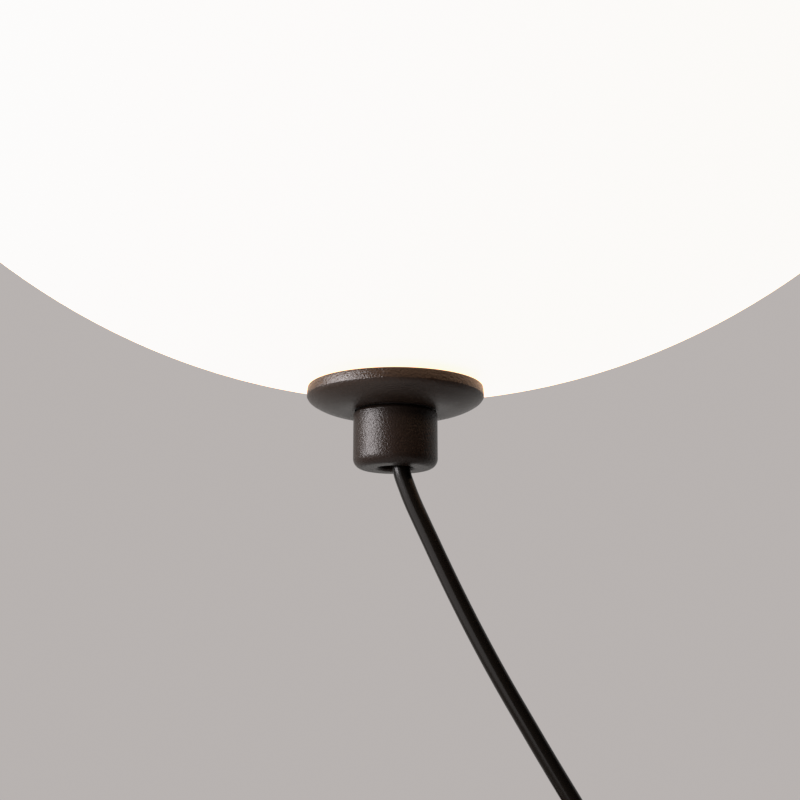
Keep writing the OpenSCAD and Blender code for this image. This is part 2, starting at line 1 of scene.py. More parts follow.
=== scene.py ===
"""Looks of a globe pendant light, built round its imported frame.

An opal glass globe is clamped between two dark powder-coated fittings. It hangs from a ceiling rose on
a short rod, and a black supply cord leaves the lower fitting, is wound into a coil and ends in a switch
and a plug.
"""

import json
import logging
from dataclasses import dataclass, replace
from enum import Enum
from math import acos, asin, atan2, cos, pi, radians, sin, tan
from typing import Iterable, Optional, Sequence

import bmesh
import bpy
import numpy as np
from bpy.types import ID, Material, Node, NodeSocket, NodeTree, Object
from mathutils import Matrix, Vector


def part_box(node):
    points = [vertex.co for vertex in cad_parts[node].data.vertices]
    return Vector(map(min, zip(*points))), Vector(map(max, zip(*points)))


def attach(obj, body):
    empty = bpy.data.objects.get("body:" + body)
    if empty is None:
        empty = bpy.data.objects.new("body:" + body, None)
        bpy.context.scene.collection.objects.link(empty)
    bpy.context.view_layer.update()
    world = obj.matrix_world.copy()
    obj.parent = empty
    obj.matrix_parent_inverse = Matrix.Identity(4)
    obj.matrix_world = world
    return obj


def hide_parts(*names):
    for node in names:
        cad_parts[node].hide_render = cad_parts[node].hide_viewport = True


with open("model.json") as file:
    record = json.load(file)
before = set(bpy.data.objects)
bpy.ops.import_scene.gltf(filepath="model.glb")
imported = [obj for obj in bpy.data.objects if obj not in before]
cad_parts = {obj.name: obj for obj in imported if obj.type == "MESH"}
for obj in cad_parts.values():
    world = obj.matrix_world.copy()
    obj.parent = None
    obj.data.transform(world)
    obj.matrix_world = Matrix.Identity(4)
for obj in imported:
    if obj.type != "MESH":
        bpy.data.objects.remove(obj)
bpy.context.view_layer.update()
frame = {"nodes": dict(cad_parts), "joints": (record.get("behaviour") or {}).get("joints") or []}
LOG = logging.getLogger("globe_pendant")
MM = 0.001
Pair = tuple[float, float]
Pairs = tuple[Pair, ...]
Triple = tuple[float, float, float]
# Edges that turn more than this stay crisp
SHARP = radians(38.0)
# Points nearer than this become one
SAME_POINT = 1e-7
# Points in a rounded outline, and the rays from its middle that find them
LOOP_POINTS = 96
OUTLINE_RAYS = 1441
# The most of a side that one corner's rounding takes up
CORNER_SHARE = 0.499
# Keeps a division off zero
TINY = 1e-9
# The two sides of a mirrored pair
SIDES = (1, -1)
# Colour inputs and output of a mix node, whose names its other sockets share
MIX_LOW, MIX_HIGH, MIX_COLOUR = 6, 7, 2
# The tone curve that all three colours share
ALL_COLOURS = 3


# Shader helpers


def linear(hex_colour: str) -> tuple[float, float, float, float]:
    """Turns an sRGB hex colour, such as "#3a322d", into linear light with full alpha."""
    shown = np.array([int(hex_colour[i:i + 2], 16) for i in (1, 3, 5)]) / 255.0
    return (*np.where(shown <= 0.04045, shown / 12.92, ((shown + 0.055) / 1.055) ** 2.4).tolist(), 1.0)


def add_node(tree: NodeTree, kind: str, settings: Optional[dict] = None,
             links: Optional[dict] = None, **attributes) -> Node:
    """Adds one shader node with its settings and links.

    Args:
        tree: the node tree that gets the node.
        kind: the node's type name.
        settings: input names or numbers, with the values that they hold.
        links: input names or numbers, with the output sockets that feed them.
        attributes: the node's own options.

    Returns:
        The new node.
    """
    node = tree.nodes.new(kind)
    for name, value in attributes.items():
        setattr(node, name, value)
    for name, value in (settings or {}).items():
        node.inputs[name].default_value = value
    for name, source in (links or {}).items():
        tree.links.new(source, node.inputs[name])
    return node


def blank_tree(owner: ID) -> NodeTree:
    """Gives a new material or world an empty node tree.

    Args:
        owner: the material or world.

    Returns:
        Its node tree.
    """
    owner.use_nodes = True
    owner.node_tree.nodes.clear()
    return owner.node_tree


class Pattern(Enum):
    """How a finish varies over its surface."""

    GRAIN = "raised grain, alike in all directions"
    BRUSHED = "long streaks along Z"
    CLOUD = "soft mottling"
    WEAVE = "threads that cross at right angles"


@dataclass(frozen=True)
class Finish:
    """A real finish, with its colours, gloss and relief.

    Attributes:
        title: the material's name.
        slot: the record's material slot; not used.
        colour: the main sRGB colour.
        accent: the sRGB colour that the pattern brings in.
        roughness: the mean roughness.
        pattern: how the surface varies.
        size_mm: the pattern's real size, in millimetres.
        relief_mm: the pattern's real height, in millimetres.
        swing: how far the roughness moves with the pattern.
        metallic: 1 for bare metal.
        ior: index of refraction.
        specular: specular level, 0.5 for a plain surface.
        stretch: length of a brushed streak, in pattern sizes.
    """

    title: str
    slot: str
    colour: str
    accent: str
    roughness: float
    pattern: Pattern = Pattern.GRAIN
    size_mm: float = 0.5
    relief_mm: float = 0.02
    swing: float = 0.06
    metallic: float = 0.0
    ior: float = 1.5
    specular: float = 0.5
    stretch: float = 40.0

    def value(self, tree: NodeTree) -> NodeSocket:
        """Adds the pattern, on Object coordinates, at its real size.

        Args:
            tree: the material's node tree.

        Returns:
            A socket that runs from 0 to 1 over the surface.
        """
        place = add_node(tree, "ShaderNodeTexCoord").outputs["Object"]
        per_metre = 1.0 / (self.size_mm * MM)
        if self.pattern is Pattern.WEAVE:
            thread = {"Scale": per_metre / 2, "Distortion": 0.4, "Detail": 1.0}
            waves = [add_node(tree, "ShaderNodeTexWave", thread, {"Vector": place},
                              bands_direction=axis).outputs["Fac"] for axis in ("Z", "DIAGONAL")]
            return add_node(tree, "ShaderNodeMath", None, {0: waves[0], 1: waves[1]},
                            operation="MULTIPLY").outputs[0]
        shrink = self.stretch if self.pattern is Pattern.BRUSHED else 1.0
        scaled = add_node(tree, "ShaderNodeMapping", {"Scale": (1.0, 1.0, 1.0 / shrink)},
                          {"Vector": place})
        detail = 1.0 if self.pattern is Pattern.CLOUD else 2.5
        grain = {"Scale": per_metre, "Detail": detail, "Roughness": 0.55}
        return add_node(tree, "ShaderNodeTexNoise", grain, {"Vector": scaled.outputs[0]}).outputs["Fac"]

    def material(self) -> Material:
        """Builds the material once, and gives it back on each later call.

        Returns:
            The node material.
        """
        found = bpy.data.materials.get(self.title)
        if found:
            return found
        made = bpy.data.materials.new(self.title)
        tree = blank_tree(made)
        value = self.value(tree)
        colour = add_node(tree, "ShaderNodeMix",
                          {MIX_LOW: linear(self.colour), MIX_HIGH: linear(self.accent)}, {0: value},
                          data_type="RGBA")
        gloss = add_node(tree, "ShaderNodeMapRange",
                         {"To Min": self.roughness - self.swing, "To Max": self.roughness + self.swing},
                         {"Value": value})
        bump = add_node(tree, "ShaderNodeBump", {"Distance": self.relief_mm * MM, "Strength": 1.0},
                        {"Height": value})
        surface = add_node(
            tree, "ShaderNodeBsdfPrincipled",
            {"Metallic": self.metallic, "IOR": self.ior, "Specular IOR Level": self.specular},
            {"Base Color": colour.outputs[MIX_COLOUR], "Roughness": gloss.outputs[0],
             "Normal": bump.outputs[0]})
        add_node(tree, "ShaderNodeOutputMaterial", None, {"Surface": surface.outputs[0]})
        self.complete(tree, surface)
        return made

    def complete(self, tree: NodeTree, surface: Node) -> None:
        """Adds what only this finish has; a plain finish adds nothing."""


@dataclass(frozen=True)
class LitOpal(Finish):
    """Blown opal glass that is lit from inside: it glows evenly, a little less by the lower fitting.

    Attributes:
        glow: sRGB colour of the light that leaves the glass.
        pole_glow: sRGB colour of that light beside the fitting.
        strength: radiance of the glow.
        low_m: height of the globe's lowest point.
        fade_mm: height over which the glow comes up from the pole.
    """

    glow: str = "#ffcea6"
    pole_glow: str = "#ffcca3"
    strength: float = 2.0
    low_m: float = 0.0
    fade_mm: float = 22.0

    def complete(self, tree: NodeTree, surface: Node) -> None:
        """Links the glow, which rises with height above the lower fitting.

        Args:
            tree: the material's node tree.
            surface: its surface shader.
        """
        place = add_node(tree, "ShaderNodeTexCoord").outputs["Object"]
        height = add_node(tree, "ShaderNodeSeparateXYZ", None, {0: place}).outputs["Z"]
        share = add_node(tree, "ShaderNodeMapRange",
                         {"From Min": self.low_m, "From Max": self.low_m + self.fade_mm * MM},
                         {"Value": height}, interpolation_type="SMOOTHSTEP")
        tint = add_node(tree, "ShaderNodeMix",
                        {MIX_LOW: linear(self.pole_glow), MIX_HIGH: linear(self.glow)},
                        {0: share.outputs[0]}, data_type="RGBA")
        tree.links.new(tint.outputs[MIX_COLOUR], surface.inputs["Emission Color"])
        surface.inputs["Emission Strength"].default_value = self.strength


# Powder coat with a fine sand texture: dark brown, satin, with a grain that breaks up highlights.
POWDER_COAT = Finish("fine_texture_powder_coat", "brown_powder_coat", "#1c1511", "#251c16", 0.25,
                     size_mm=0.58, relief_mm=0.22, swing=0.05, specular=0.24)
# The same coat on the turned bosses: thinner, with a lower grain and less gloss. Its darker colour is
# painted shade, for the lower boss that sits in the flange's shade.
SHADE_DARKENED_BOSS_COAT = replace(POWDER_COAT, title="fine_texture_powder_coat_on_boss_with_painted_shade", colour="#16100d",
                    accent="#1d1612", roughness=0.285, relief_mm=0.19, specular=0.15)
# And on the rose, which is sprayed from farther off: matt.
ROSE_COAT = replace(POWDER_COAT, title="fine_texture_powder_coat_on_rose", roughness=0.78, specular=0.1)
# Extruded PVC sheath: near black, satin, with a very faint haul-off texture.
CORD_PVC = Finish("extruded_black_pvc", "black_cord", "#0a0806", "#0d0a08", 0.21, size_mm=1.4,
                  relief_mm=0.004, swing=0.03, specular=0.17)
# Spark-eroded ABS mouldings: black, matt, with a fine even pitting.
MOULDED_ABS = Finish("spark_eroded_black_abs", "black_plastic", "#171412", "#201c19", 0.5,
                     size_mm=0.45, relief_mm=0.03, swing=0.08)
# Nylon touch-fastener strap: a coarse weave with a soft pile.
TIE_NYLON = Finish("woven_black_nylon", "black_plastic", "#14110f", "#2b2622", 0.85, Pattern.WEAVE,
                   size_mm=0.9, relief_mm=0.12)
# Zinc plate on pressed steel: pale, faintly streaked by the press.
ZINC_PLATE = Finish("zinc_plated_steel", "zinc_steel", "#b4b7b9", "#9fa3a7", 0.34, Pattern.BRUSHED,
                    relief_mm=0.006, metallic=1.0)
# Nickel plate on turned brass: bright, a little warm.
NICKEL_PLATE = Finish("nickel_plated_brass", "nickel_plate", "#cfc7ba", "#bdb4a6", 0.18, Pattern.BRUSHED,
                      size_mm=0.3, relief_mm=0.002, swing=0.04, metallic=1.0)
# Clear anodised extrusion: pale grey, with die lines along its length.
ANODISED = Finish("clear_anodised_aluminium", "column_aluminium", "#c6c8ca", "#b3b6b9", 0.38,
                  Pattern.BRUSHED, size_mm=0.4, relief_mm=0.004, metallic=1.0)
# White PBT mouldings and solder resist: satin white.
WHITE_PBT = Finish("moulded_white_pbt", "white_plastic", "#e9e8e3", "#dddbd5", 0.46, size_mm=0.6,
                   relief_mm=0.01)
# Phosphor-filled silicone over the LED chips.
PHOSPHOR = Finish("led_phosphor_resin", "led_phosphor", "#f0d45a", "#e2bd3c", 0.3, Pattern.CLOUD,
                  size_mm=0.8, relief_mm=0.01)
# Moulded EPDM seals: dark grey with a chalky bloom.
SEAL_EPDM = Finish("moulded_epdm", "seal_rubber", "#3a3836", "#4a4845", 0.72, Pattern.CLOUD, size_mm=3.0)
# Vulcanised fibre sheet: black, with pressed fibres. The washer's black is partly its own colour and
# partly painted shade in the gap between the lower flange and its boss.
BLACK_FIBRE_AND_GAP_SHADE = Finish("vulcanised_fibre_and_gap_shade", "black_fibre", "#1c1917", "#25211f", 0.62, Pattern.BRUSHED,
                     size_mm=0.4, relief_mm=0.01, stretch=6.0)
# PVC insulation on the lead wires.
WIRE_PVC = Finish("brown_wire_pvc", "brown_wire", "#6b3d20", "#7a4a2a", 0.36, size_mm=1.0,
                  relief_mm=0.005)


# Mesh helpers


def extent(node: str) -> tuple[Vector, Vector]:
    """Middle and half sizes of a solid's box."""
    low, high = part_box(node)
    return (low + high) / 2, (high - low) / 2


def circle(count: int) -> np.ndarray:
    """Points in equal steps round a circle of radius 1, from its +X side."""
    angles = np.linspace(0, 2 * pi, count, endpoint=False)
    return np.column_stack([np.cos(angles), np.sin(angles)])


def arc(start: Sequence[float], radius: float, angles: np.ndarray) -> np.ndarray:
    """Goes on from a point along an arc, whose angle from the upright is given at each step."""
    turn = np.column_stack([np.sin(angles), np.cos(angles)])
    return np.array(start) + radius * (turn - turn[0])


def walked(line: np.ndarray) -> np.ndarray:
    """Distance from the first point of a line to each, along the line."""
    return np.concatenate([[0], np.cumsum(np.linalg.norm(np.diff(line, axis=0), axis=1))])


def eased(share: np.ndarray) -> np.ndarray:
    """Eases a rise from 0 to 1 at both ends: three times its square less twice its cube."""
    return share * share * (3 - 2 * share)


def rounded(corners: Sequence[Triple], steps: int = 6) -> np.ndarray:
    """Rounds the corners of a closed outline: each corner becomes an arc that touches its two sides.

    Args:
        corners: radius, height and rounding of each corner, in order.
        steps: spans in each arc.

    Returns:
        The outline's points, as rows of two numbers.
    """
    spots = np.array([c[:2] for c in corners], float)
    before = np.roll(spots, 1, axis=0) - spots
    after = np.roll(spots, -1, axis=0) - spots
    outline = []
    for spot, back, ahead, corner in zip(spots, before, after, corners):
        if corner[2] <= 0:
            outline.append(spot[None, :])
            continue
        shorter = min(np.linalg.norm(back), np.linalg.norm(ahead))
        u = back / np.linalg.norm(back)
        v = ahead / np.linalg.norm(ahead)
        half = acos(float(np.clip(u @ v, -1, 1))) / 2
        reach = min(corner[2] / tan(half), CORNER_SHARE * shorter)
        radius = reach * tan(half)
        middle = spot + (u + v) / np.linalg.norm(u + v) * radius / sin(half)
        first = spot + u * reach - middle
        last = spot + v * reach - middle
        start = atan2(first[1], first[0])
        turn = (atan2(last[1], last[0]) - start + pi) % (2 * pi) - pi
        angles = start + turn * np.linspace(0, 1, steps + 1)
        outline.append(middle + radius * np.column_stack([np.cos(angles), np.sin(angles)]))
    return np.vstack(outline)


def grid_faces(rows: int, columns: int, wrap_rows: bool) -> np.ndarray:
    """Numbers the quads of a grid whose columns go all the way round.

    Args:
        rows: rows of points.
        columns: points in a row.
        wrap_rows: whether the last row joins the first.

    Returns:
        Four point numbers for each quad.
    """
    i = np.arange(rows if wrap_rows else rows - 1)[:, None]
    j = np.arange(columns)[None, :]
    below, beside = (i + 1) % rows, (j + 1) % columns
    corners = [i * columns + j, i * columns + beside, below * columns + beside, below * columns + j]
    return np.stack(corners, axis=-1).reshape(-1, 4)


def turned(profile: np.ndarray, segments: int = 128, axis: Sequence[float] = (0.0, 0.0)) -> np.ndarray:
    """Turns a half section about an upright axis: each point goes round a circle of its own radius.

    Args:
        profile: radius and height of each point.
        segments: points in a full turn.
        axis: x and y of the axis.

    Returns:
        A grid of points, one row for each point of the section.
    """
    flat = np.array(axis) + profile[:, :1, None] * circle(segments)
    heights = np.repeat(profile[:, 1:, None], segments, axis=1)
    return np.concatenate([flat, heights], axis=-1)


def box_outline(half_x: float, half_z: float, corner: float) -> np.ndarray:
    """Walks round a rectangle with round corners, in equal steps, from its +X side.

    Each ray from the middle meets a straight side or a corner's circle; the meeting points are then
    spaced evenly.

    Args:
        half_x: half the width.
        half_z: half the height.
        corner: radius of the corners.

    Returns:
        x and z of each point.
    """
    angles = np.linspace(0, 2 * pi, OUTLINE_RAYS)
    c, s = np.abs(np.cos(angles)), np.abs(np.sin(angles))
    flat_x, flat_z = half_x - corner, half_z - corner
    side = half_x / np.maximum(c, TINY)
    end = half_z / np.maximum(s, TINY)
    along = flat_x * c + flat_z * s
    bend = along + np.sqrt(np.maximum(along ** 2 - flat_x ** 2 - flat_z ** 2 + corner ** 2, 0))
    reach = np.where(side * s <= flat_z, side, np.where(end * c <= flat_x, end, bend))
    points = np.column_stack([reach * np.cos(angles), reach * np.sin(angles)])
    way = walked(points)
    wanted = np.linspace(0, way[-1], LOOP_POINTS, endpoint=False)
    return np.column_stack([np.interp(wanted, way, points[:, k]) for k in (0, 1)])


def show(name: str, data: ID) -> Object:
    """Puts new data into the scene.

    Args:
        name: the object's name.
        data: its mesh, curve, camera or light.

    Returns:
        The new object.
    """
    made = bpy.data.objects.new(name, data)
    bpy.context.scene.collection.objects.link(made)
    return made


def add_piece(name: str, grids: Iterable[tuple[np.ndarray, bool]], finish: Finish,
              stands_for: Sequence[str] = (), body: str = "globe") -> Object:
    """Makes one piece of the lamp from grids of points and lets it ride on a body.

    A grid that doesn't join its last row to its first is closed by a face at each end.

    Args:
        name: the piece's name.
        grids: points in rows and columns, and whether the rows wrap round.
        finish: the finish all over.
        stands_for: the solids that the piece replaces.
        body: the body that carries the piece.

    Returns:
        The new object.
    """
    made = bmesh.new()
    for points, wrap_rows in grids:
        rows, columns = points.shape[:2]
        part = bpy.data.meshes.new(name)
        faces = grid_faces(rows, columns, wrap_rows).tolist()
        if not wrap_rows:
            faces.append(list(range(columns))[::-1])
            faces.append(list(range((rows - 1) * columns, rows * columns)))
        part.from_pydata(points.reshape(-1, 3).tolist(), [], faces)
        made.from_mesh(part)
        bpy.data.meshes.remove(part)
    bmesh.ops.remove_doubles(made, verts=made.verts, dist=SAME_POINT)
    bmesh.ops.dissolve_degenerate(made, edges=made.edges, dist=SAME_POINT)
    bmesh.ops.recalc_face_normals(made, faces=made.faces)
    mesh = bpy.data.meshes.new(name)
    made.to_mesh(mesh)
    made.free()
    mesh.shade_smooth()
    mesh.set_sharp_from_angle(angle=SHARP)
    return settle(show(name, mesh), finish, stands_for, body)


def settle(piece: Object, finish: Finish, stands_for: Sequence[str], body: str = "globe") -> Object:
    """Gives a new piece its finish, its body and the solids that it replaces.

    Args:
        piece: the new object.
        finish: its finish.
        stands_for: the solids that it replaces.
        body: the body that carries it.

    Returns:
        The same object.
    """
    piece.data.materials.append(finish.material())
    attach(piece, body)
    if stands_for:
        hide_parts(*stands_for)
    LOG.info("%s rides on %s", piece.name, body)
    return piece


def cut_out(piece: Object, cutter: Object) -> None:
    """Cuts one shape out of a piece for good, and drops the cutter.

    Args:
        piece: the piece that is cut.
        cutter: a closed shape.
    """
    cut = piece.modifiers.new("cut", "BOOLEAN")
    cut.operation = "DIFFERENCE"
    cut.object = cutter
    bpy.context.view_layer.update()
    depsgraph = bpy.context.evaluated_depsgraph_get()
    made = bpy.data.meshes.new_from_object(piece.evaluated_get(depsgraph))
    piece.modifiers.clear()
    piece.data = made
    bpy.data.objects.remove(cutter)


def dress(finish: Finish, *nodes: str) -> None:
    """Gives solids that stay as they are a finish of their own.

    Args:
        finish: the finish.
        nodes: the solids' names.
    """
    for node in nodes:
        mesh = frame["nodes"][node].data
        mesh.materials.clear()
        mesh.materials.append(finish.material())
        LOG.info("%s keeps its solid", node)


# The lamp


@dataclass
class Globe:
    """The blown opal globe, open at both poles."""

    wall: float = 3.0 * MM
    hole_r: float = 13.4 * MM
    rows: int = 120
    segments: int = 192

    def section(self) -> np.ndarray:
        """Half section: the outer circle from hole to hole, and the inner circle back.

        Returns:
            Radius and height of each point.
        """
        middle, half = extent("globe_glass")
        arcs = []
        for radius, way in ((half.x, 1), (half.x - self.wall, -1)):
            limit = pi / 2 - asin(self.hole_r / radius)
            angles = np.linspace(-limit, limit, self.rows)[::way]
            arcs.append(np.column_stack([radius * np.cos(angles), middle.z + radius * np.sin(angles)]))
        return np.vstack(arcs)

    def build(self) -> None:
        """Makes the glass shell."""
        glass = LitOpal("blown_opal_glass", "opal_glass", "#b9b6b0", "#c2bfba", 0.22, Pattern.CLOUD,
                        size_mm=60.0, relief_mm=0.05, swing=0.03, low_m=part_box("globe_glass")[0].z)
        shell = turned(self.section(), self.segments)
        add_piece("globe_shell", [(shell, True)], glass, ["globe_glass"])


@dataclass
class EndFitting:
    """A flange against the globe and the round boss beyond it.

    Attributes:
        flange: the flange's solid.
        boss: the boss's solid.
        boss_body: the body that carries the boss.
        up: whether the fitting stands on the globe instead of hanging below it.
        lean: how far the fitting sits askew on its seal, in radians, its +X side raised.
        rim_bow: how far the rim leans in towards the globe.
        rim_shares: heights on the rim that have a ring of points, as shares of its own.
        low_side: from the recess to the ring where the underside is lowest.
    """

    flange: str
    boss: str
    boss_body: str
    up: bool
    lean: float = 0.0
    collar_h: float = 5.0 * MM
    collar_r: float = 12.6 * MM
    hole_r: float = 5.25 * MM
    hole_round: float = 1.1 * MM
    rim_h: float = 3.1 * MM
    rim_round: float = 0.4 * MM
    rim_bow: float = 0.2 * MM
    rim_shares: tuple[float, ...] = (0.25, 0.38, 0.51, 0.64, 0.77, 0.9)
    shoulder_r: float = 3.5 * MM
    shoulder_from: float = radians(68)
    shoulder_rows: int = 14
    under_slope: float = radians(33)
    under_rows: int = 24
    low_side: float = 3.6 * MM
    recess_inset: float = 0.5 * MM
    recess_deep: float = 0.9 * MM
    boss_chamfer: float = 1.0 * MM
    boss_round: float = 3.0 * MM
    edge: float = 0.15 * MM
    segments: int = 192

    def __post_init__(self) -> None:
        """Reads the radii from the frame, and the boss's ends as distances from the flat face."""
        middle, half = extent(self.flange)
        boss_middle, boss_half = extent(self.boss)
        self.flange_r, self.boss_r = half.x, boss_half.x
        self.way = 1.0 if self.up else -1.0
        self.face = middle.z - self.way * (half.z - self.collar_h)
        boss_at = self.way * (boss_middle.z - self.face)
        self.boss_from, self.boss_to = boss_at - boss_half.z, boss_at + boss_half.z

    def flange_section(self) -> np.ndarray:
        """Half section: collar, flat face, rim, round shoulder, round underside and recess.

        The rim leans in a little towards the globe; the underside is an arc, lowest on a ring outside
        the boss.

        Returns:
            Radius and distance from the flat face of each point.
        """
        recess_r = self.boss_r - self.recess_inset
        rim = [(self.flange_r - self.rim_bow * (1 - t) ** 2, t * self.rim_h, 0.0)
               for t in self.rim_shares]
        shoulder = arc((self.flange_r, self.rim_h), self.shoulder_r,
                       np.linspace(self.shoulder_from, self.under_slope, self.shoulder_rows))
        under_r = (shoulder[-1, 0] - recess_r - self.low_side) / sin(self.under_slope)
        neck_slope = -asin(self.low_side / under_r)
        under = arc(shoulder[-1], under_r, np.linspace(self.under_slope, neck_slope, self.under_rows))
        curve = [(r, w, 0.0) for r, w in np.vstack([shoulder[1:], under[1:-1]])]
        neck = under[-1, 1]
        return rounded([
            (self.hole_r, -self.collar_h, self.edge), (self.collar_r, -self.collar_h, 2 * self.edge),
            (self.collar_r, 0, 0), (self.flange_r - self.rim_bow, 0, self.rim_round), *rim,
            (self.flange_r, self.rim_h, self.edge), *curve, (recess_r, neck, 1.5 * self.edge),
            (recess_r, neck - self.recess_deep, self.edge),
            (self.hole_r, neck - self.recess_deep, self.edge)])

    def boss_section(self) -> np.ndarray:
        """Half section: chamfered at the flange, rounded at the free end and at the hole."""
        return rounded([
            (self.hole_r, self.boss_from, self.edge),
            (self.boss_r - self.boss_chamfer, self.boss_from, self.edge),
            (self.boss_r, self.boss_from + self.boss_chamfer, 3 * self.edge),
            (self.boss_r, self.boss_to, self.boss_round),
            (self.hole_r, self.boss_to, self.hole_round)], steps=12)

    def build(self) -> None:
        """Makes the flange and the boss, and turns both by the lean about the flat face's middle."""
        # The boss gets the darker copy of the coat: painted shade below the flange.
        for section, node, body, coat in (
                (self.flange_section(), self.flange, "globe", POWDER_COAT),
                (self.boss_section(), self.boss, self.boss_body, SHADE_DARKENED_BOSS_COAT)):
            shape = turned(section, self.segments)
            x, z = shape[..., 0].copy(), self.way * shape[..., 2]
            shape[..., 0] = x * cos(self.lean) - z * sin(self.lean)
            shape[..., 2] = self.face + x * sin(self.lean) + z * cos(self.lean)
            add_piece(f"{node}_coated", [(shape, True)], coat, [node], body)


@dataclass
class Hanger:
    """Ceiling rose, swivel and drop rod.

    Attributes:
        shank_grip: how far a rose screw's shank goes into the strap.
        head_per_shank: a screw head's radius, as a multiple of the shank's.
        head_flat: radius of the head's flat top, as a share of the head's.
        socket_mouth: radius of the socket's mouth, as a multiple of the socket's.
    """

    rod_edge: float = 0.4 * MM
    spigot_step: float = 1.5 * MM
    rose_wall: float = 1.5 * MM
    rose_edge: float = 2.2 * MM
    rose_lip: float = 0.5 * MM
    rose_hole_r: float = 11.4 * MM
    shank_grip: float = 3.0 * MM
    head_per_shank: float = 1.8
    head_flat: float = 0.72
    head_edge: float = 0.3 * MM
    head_dome: float = 0.9 * MM
    socket_r: float = 1.5 * MM
    socket_mouth: float = 1.25
    socket_edge: float = 0.1 * MM
    socket_deep: float = 1.6 * MM
    screw_segments: int = 48

    def rod(self) -> None:
        """Makes the drop rod, with its spigot in the fork."""
        low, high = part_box("drop_rod")
        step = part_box("rod_fork")[0].z
        radius = (high.x - low.x) / 2
        spigot = radius - self.spigot_step
        section = rounded([
            (0, low.z, 0), (radius, low.z, self.rod_edge), (radius, step, self.rod_edge),
            (spigot, step, 0), (spigot, high.z, self.rod_edge), (0, high.z, 0)])
        shape = turned(section, segments=64)
        add_piece("drop_rod_coated", [(shape, False)], POWDER_COAT, ["drop_rod"])

    def rose(self) -> None:
        """Makes the spun rose cover, with a soft edge and a rolled lip at the rod's hole."""
        low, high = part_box("rose_cover")
        radius = (high.x - low.x) / 2
        inner, floor = radius - self.rose_wall, low.z + self.rose_wall
        section = rounded([
            (self.rose_hole_r, low.z, self.rose_lip), (radius, low.z, self.rose_edge),
            (radius, high.z, self.rose_lip), (inner, high.z, self.rose_lip),
            (inner, floor, self.rose_edge - self.rose_wall),
            (self.rose_hole_r, floor, self.rose_lip)], steps=8)
        shape = turned(section, segments=160)
        add_piece("rose_cover_coated", [(shape, True)], ROSE_COAT, ["rose_cover"], "ceiling")

    def screws(self) -> None:
        """Makes the two rose screws: a domed head with a six-sided socket, on a plain shank.

        A ring at the socket has the radius of a hexagon, cos(30) / cos(angle from the nearest flat's
        middle).
        """
        middle, half = extent("rose_screws")
        head_r, top = half.z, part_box("rose_screws")[1].x
        shank_r = head_r / self.head_per_shank
        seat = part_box("rose_cover")[1].x
        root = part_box("ceiling_bracket")[1].x - self.shank_grip
        outline = rounded([
            (0, root, 0), (shank_r, root, self.head_edge), (shank_r, seat, 0),
            (head_r, seat, self.head_edge), (head_r * self.head_flat, top, self.head_dome),
            (self.socket_r * self.socket_mouth, top, self.socket_edge)])
        sixth = pi / 3
        angles = np.linspace(0, 2 * pi, self.screw_segments, endpoint=False)
        six = cos(sixth / 2) / np.cos((angles + sixth / 2) % sixth - sixth / 2)
        ring = circle(self.screw_segments)
        socket = ring * six[:, None] * self.socket_r
        rings = np.stack([*(ring * r for r in outline[:, 0]), socket, socket, 0 * socket])
        floor = top - self.socket_deep
        depths = np.array([*outline[:, 1], top - self.socket_edge, floor, floor])
        x = np.repeat(depths[:, None], self.screw_segments, axis=1)
        grids = [(np.stack([side * x, rings[..., 0], middle.z + rings[..., 1]], axis=-1), False)
                 for side in SIDES]
        add_piece("rose_screw_pair", grids, ZINC_PLATE, ["rose_screws"], "ceiling")

    def build(self) -> None:
        """Makes the pieces that show, and dresses the swivel inside the rose."""
        self.rose()
        self.screws()
        self.rod()
        dress(ZINC_PLATE, "ceiling_bracket", "swivel_yoke", "yoke_rivets", "swivel_block", "yoke_pin",
              "fork_pin", "rod_fork", "grub_screw")


@dataclass
class LightEngine:
    """What the globe holds inside, and the seals at its poles."""

    finishes: tuple[tuple[Finish, tuple[str, ...]], ...] = (
        (ZINC_PLATE, ("tie_tube", "driver_clips")),
        (ANODISED, ("light_column",)),
        (WHITE_PBT, ("led_strips", "driver_box", "terminal_block")),
        (PHOSPHOR, ("led_chips",)),
        (WIRE_PVC, ("lead_wires",)),
        (CORD_PVC, ("cord_riser",)),
        (SEAL_EPDM, ("upper_gasket", "lower_gasket", "cord_grip")),
        # The fibre washer's black is partly painted shade in the gap below the flange.
        (BLACK_FIBRE_AND_GAP_SHADE, ("fibre_washer",)))

    def build(self) -> None:
        """Dresses each solid."""
        for finish, nodes in self.finishes:
            dress(finish, *nodes)


@dataclass
class CordCoil:
    """The put-away length of the cord: turns that spiral in and out again, layer on layer.

    Attributes:
        centre: middle of the first layer.
        join: angle on the coil at which the cord comes in.
    """

    centre: np.ndarray
    cord_d: float
    middle_d: float = 61 * MM
    layers: int = 4
    turns: int = 9
    join: float = radians(33)
    gap: float = 0.55 * MM
    turn_points: int = 24

    def heading(self, angle: float) -> np.ndarray:
        """Direction of the cord at an angle on the coil."""
        return np.array([sin(angle), 0.0, -cos(angle)])

    def path(self) -> np.ndarray:
        """Follows the cord through its turns.

        The radius goes from outside to inside on one layer and back on the next, and the depth grows by
        one pitch, eased, in the half turn round each reversal.

        Returns:
            Points along the centreline.
        """
        pitch = self.cord_d + self.gap
        all_turns = self.turns + self.join / (2 * pi)
        layer_turns = all_turns / self.layers
        turned_by = np.linspace(0, all_turns, round(all_turns * self.turn_points) + 1)
        inward = np.abs((turned_by / layer_turns + 1) % 2 - 1)
        radius = self.middle_d / 2 + layer_turns * pitch * (0.5 - inward)
        reversals = np.arange(1, self.layers)[:, None] * layer_turns
        rise = np.clip((turned_by - reversals) * 2 + 0.5, 0, 1)
        depth = pitch * eased(rise).sum(axis=0)
        angle = self.join - 2 * pi * turned_by
        turns = self.centre + np.column_stack([radius * np.cos(angle), depth, radius * np.sin(angle)])
        start = turns[0] - self.cord_d * self.heading(self.join)
        end = turns[-1] + self.cord_d * self.heading(0.0)
        return np.vstack([start, turns, end])


